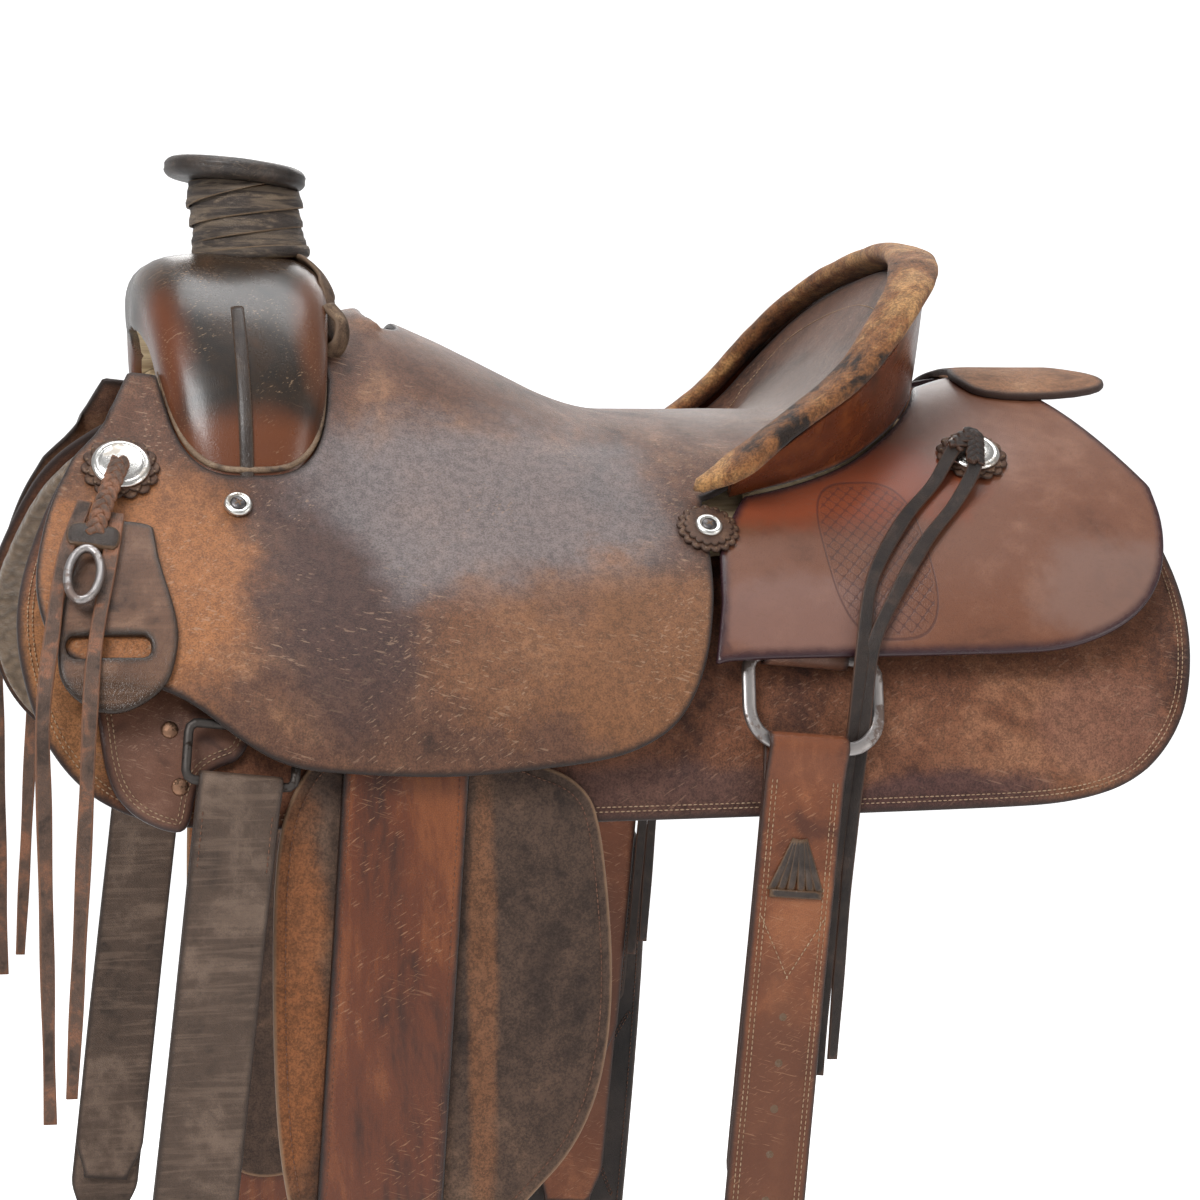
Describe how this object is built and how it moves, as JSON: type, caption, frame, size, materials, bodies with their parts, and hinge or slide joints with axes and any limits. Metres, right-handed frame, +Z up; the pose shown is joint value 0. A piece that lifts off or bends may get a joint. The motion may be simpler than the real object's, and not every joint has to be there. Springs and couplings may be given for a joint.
{
  "type": "ranch saddle",
  "caption": "Leather ranch saddle with a wrapped post horn, deep seat, rolled cantle, double rigging, swinging fenders and stirrups.",
  "frame": {"origin": "where the saddle rests on a rack's ridge, 66 mm below the middle of the ground seat", "axes": "+X from the horn to the cantle, +Y to the off (right) side, +Z up"},
  "size_m": [0.8025, 0.5746, 1.0836],
  "materials": {
    "near_tree_bar": "raw",
    "off_tree_bar": "raw",
    "tree_fork": "raw",
    "fork_cover": "polished",
    "horn_core": "raw",
    "horn_cap": "dark, worn",
    "horn_wrap": "worn",
    "seat_leather": "rough-out",
    "ground_seat": "smooth, oiled",
    "tree_cantle": "raw",
    "cantle_back": "polished",
    "cheyenne_roll": "worn suede",
    "near_skirt": "rough-out",
    "near_skirt_lining": "woolskin",
    "off_skirt": "rough-out",
    "off_skirt_lining": "woolskin",
    "near_rear_jockey": "smooth, oiled",
    "off_rear_jockey": "smooth, oiled",
    "rear_joint_cover": "rough-out",
    "near_rigging_plate": "smooth, oiled",
    "near_rigging_ring": "worn",
    "latigo": "oiled strap",
    "near_latigo_carrier": "smooth, oiled",
    "off_rigging_plate": "smooth, oiled",
    "off_rigging_ring": "worn",
    "off_billet": "oiled strap",
    "off_latigo_carrier": "smooth, oiled",
    "near_leather_loop": "oiled strap",
    "near_stirrup_leather": "oiled strap",
    "near_fender": "rough-out",
    "near_stirrup": "smooth, oiled",
    "near_stirrup_bolt": "worn",
    "off_leather_loop": "oiled strap",
    "off_stirrup_leather": "oiled strap",
    "off_fender": "rough-out",
    "off_stirrup": "smooth, oiled",
    "off_stirrup_bolt": "worn",
    "near_rear_dee": "worn",
    "near_dee_leather": "smooth, oiled",
    "near_rear_billet": "oiled strap",
    "off_rear_dee": "worn",
    "off_dee_leather": "smooth, oiled",
    "off_rear_billet": "oiled strap",
    "cinch_buckle": "dark",
    "flank_cinch": "oiled strap",
    "near_front_rosette": "smooth, oiled",
    "near_front_concho": "soft polish",
    "near_rear_rosette": "smooth, oiled",
    "near_rear_concho": "soft polish",
    "near_seat_rosette": "smooth, oiled",
    "off_front_rosette": "smooth, oiled",
    "off_front_concho": "soft polish",
    "off_rear_rosette": "smooth, oiled",
    "off_rear_concho": "soft polish",
    "off_seat_rosette": "smooth, oiled",
    "near_front_strings": "soft lace",
    "near_rear_strings": "soft lace",
    "off_front_strings": "soft lace",
    "off_rear_strings": "soft lace"
  },
  "bodies": {
    "saddle": {"near_tree_bar": "near_tree_bar", "off_tree_bar": "off_tree_bar", "tree_fork": "tree_fork", "fork_cover": "fork_cover", "horn_core": "horn_core", "horn_cap": "horn_cap", "horn_wrap": "horn_wrap", "seat_leather": "seat_leather", "ground_seat": "ground_seat", "tree_cantle": "tree_cantle", "cantle_back": "cantle_back", "cheyenne_roll": "cheyenne_roll", "near_skirt": "near_skirt", "near_skirt_lining": "near_skirt_lining", "off_skirt": "off_skirt", "off_skirt_lining": "off_skirt_lining", "near_rear_jockey": "near_rear_jockey", "off_rear_jockey": "off_rear_jockey", "rear_joint_cover": "rear_joint_cover", "near_rigging_plate": "near_rigging_plate", "near_rigging_ring": "near_rigging_ring", "near_latigo_carrier": "near_latigo_carrier", "off_rigging_plate": "off_rigging_plate", "off_rigging_ring": "off_rigging_ring", "off_latigo_carrier": "off_latigo_carrier", "near_leather_loop": "near_leather_loop", "off_leather_loop": "off_leather_loop", "near_dee_leather": "near_dee_leather", "off_dee_leather": "off_dee_leather", "near_front_rosette": "near_front_rosette", "near_front_concho": "near_front_concho", "near_rear_rosette": "near_rear_rosette", "near_rear_concho": "near_rear_concho", "near_seat_rosette": "near_seat_rosette", "off_front_rosette": "off_front_rosette", "off_front_concho": "off_front_concho", "off_rear_rosette": "off_rear_rosette", "off_rear_concho": "off_rear_concho", "off_seat_rosette": "off_seat_rosette", "near_front_strings": "near_front_strings", "near_rear_strings": "near_rear_strings", "off_front_strings": "off_front_strings", "off_rear_strings": "off_rear_strings"},
    "near_leather": {"near_stirrup_leather": "near_stirrup_leather", "near_fender": "near_fender", "near_stirrup_bolt": "near_stirrup_bolt"},
    "near_stirrup_body": {"near_stirrup": "near_stirrup"},
    "off_leather": {"off_stirrup_leather": "off_stirrup_leather", "off_fender": "off_fender", "off_stirrup_bolt": "off_stirrup_bolt"},
    "off_stirrup_body": {"off_stirrup": "off_stirrup"},
    "latigo_front_strap": {"latigo": "latigo"},
    "off_billet_front_strap": {"off_billet": "off_billet"},
    "near_dee": {"near_rear_dee": "near_rear_dee"},
    "near_rear_strap": {"near_rear_billet": "near_rear_billet"},
    "off_dee": {"off_rear_dee": "off_rear_dee"},
    "off_rear_strap": {"off_rear_billet": "off_rear_billet"},
    "cinch": {"cinch_buckle": "cinch_buckle", "flank_cinch": "flank_cinch"}
  },
  "joints": [
    {"name": "near_leather_swing", "type": "hinge", "parent": "saddle", "child": "near_leather", "pos_m": [-0.183, -0.2483, -0.072], "axis": [0, 1, 0], "range_deg": [-12, 12]},
    {"name": "near_stirrup_tilt", "type": "hinge", "parent": "near_leather", "child": "near_stirrup_body", "pos_m": [-0.21574, -0.2483, -0.6], "axis": [1, 0, 0], "range_deg": [-40, 40]},
    {"name": "off_leather_swing", "type": "hinge", "parent": "saddle", "child": "off_leather", "pos_m": [-0.183, 0.2483, -0.072], "axis": [0, 1, 0], "range_deg": [-8, 12]},
    {"name": "off_stirrup_tilt", "type": "hinge", "parent": "off_leather", "child": "off_stirrup_body", "pos_m": [-0.21574, 0.2483, -0.6], "axis": [1, 0, 0], "range_deg": [-40, 40]},
    {"name": "latigo_flap", "type": "hinge", "parent": "saddle", "child": "latigo_front_strap", "pos_m": [-0.293, -0.2592, -0.1565], "axis": [-0.9936, 0, 0.1132], "range_deg": [0, 60]},
    {"name": "off_billet_flap", "type": "hinge", "parent": "saddle", "child": "off_billet_front_strap", "pos_m": [-0.293, 0.2592, -0.1565], "axis": [0.9936, 0, -0.1132], "range_deg": [0, 60]},
    {"name": "near_rear_dee_swing", "type": "hinge", "parent": "saddle", "child": "near_dee", "pos_m": [0.0865, -0.22692, -0.087], "axis": [-0.9954, 0, 0.0958], "range_deg": [0, 30]},
    {"name": "near_rear_billet_flap", "type": "hinge", "parent": "near_dee", "child": "near_rear_strap", "pos_m": [0.07555, -0.25094, -0.14337], "axis": [-0.9954, 0, 0.0958], "range_deg": [0, 45]},
    {"name": "off_rear_dee_swing", "type": "hinge", "parent": "saddle", "child": "off_dee", "pos_m": [0.0865, 0.22692, -0.087], "axis": [0.9954, 0, -0.0958], "range_deg": [0, 30]},
    {"name": "off_rear_billet_flap", "type": "hinge", "parent": "off_dee", "child": "off_rear_strap", "pos_m": [0.07555, 0.25094, -0.14337], "axis": [0.9954, 0, -0.0958], "range_deg": [0, 45]},
    {"name": "flank_cinch_swing", "type": "hinge", "parent": "off_rear_strap", "child": "cinch", "pos_m": [0.0712, 0.25479, -0.18848], "axis": [0.9954, 0, -0.0958], "range_deg": [0, 15]}
  ]
}
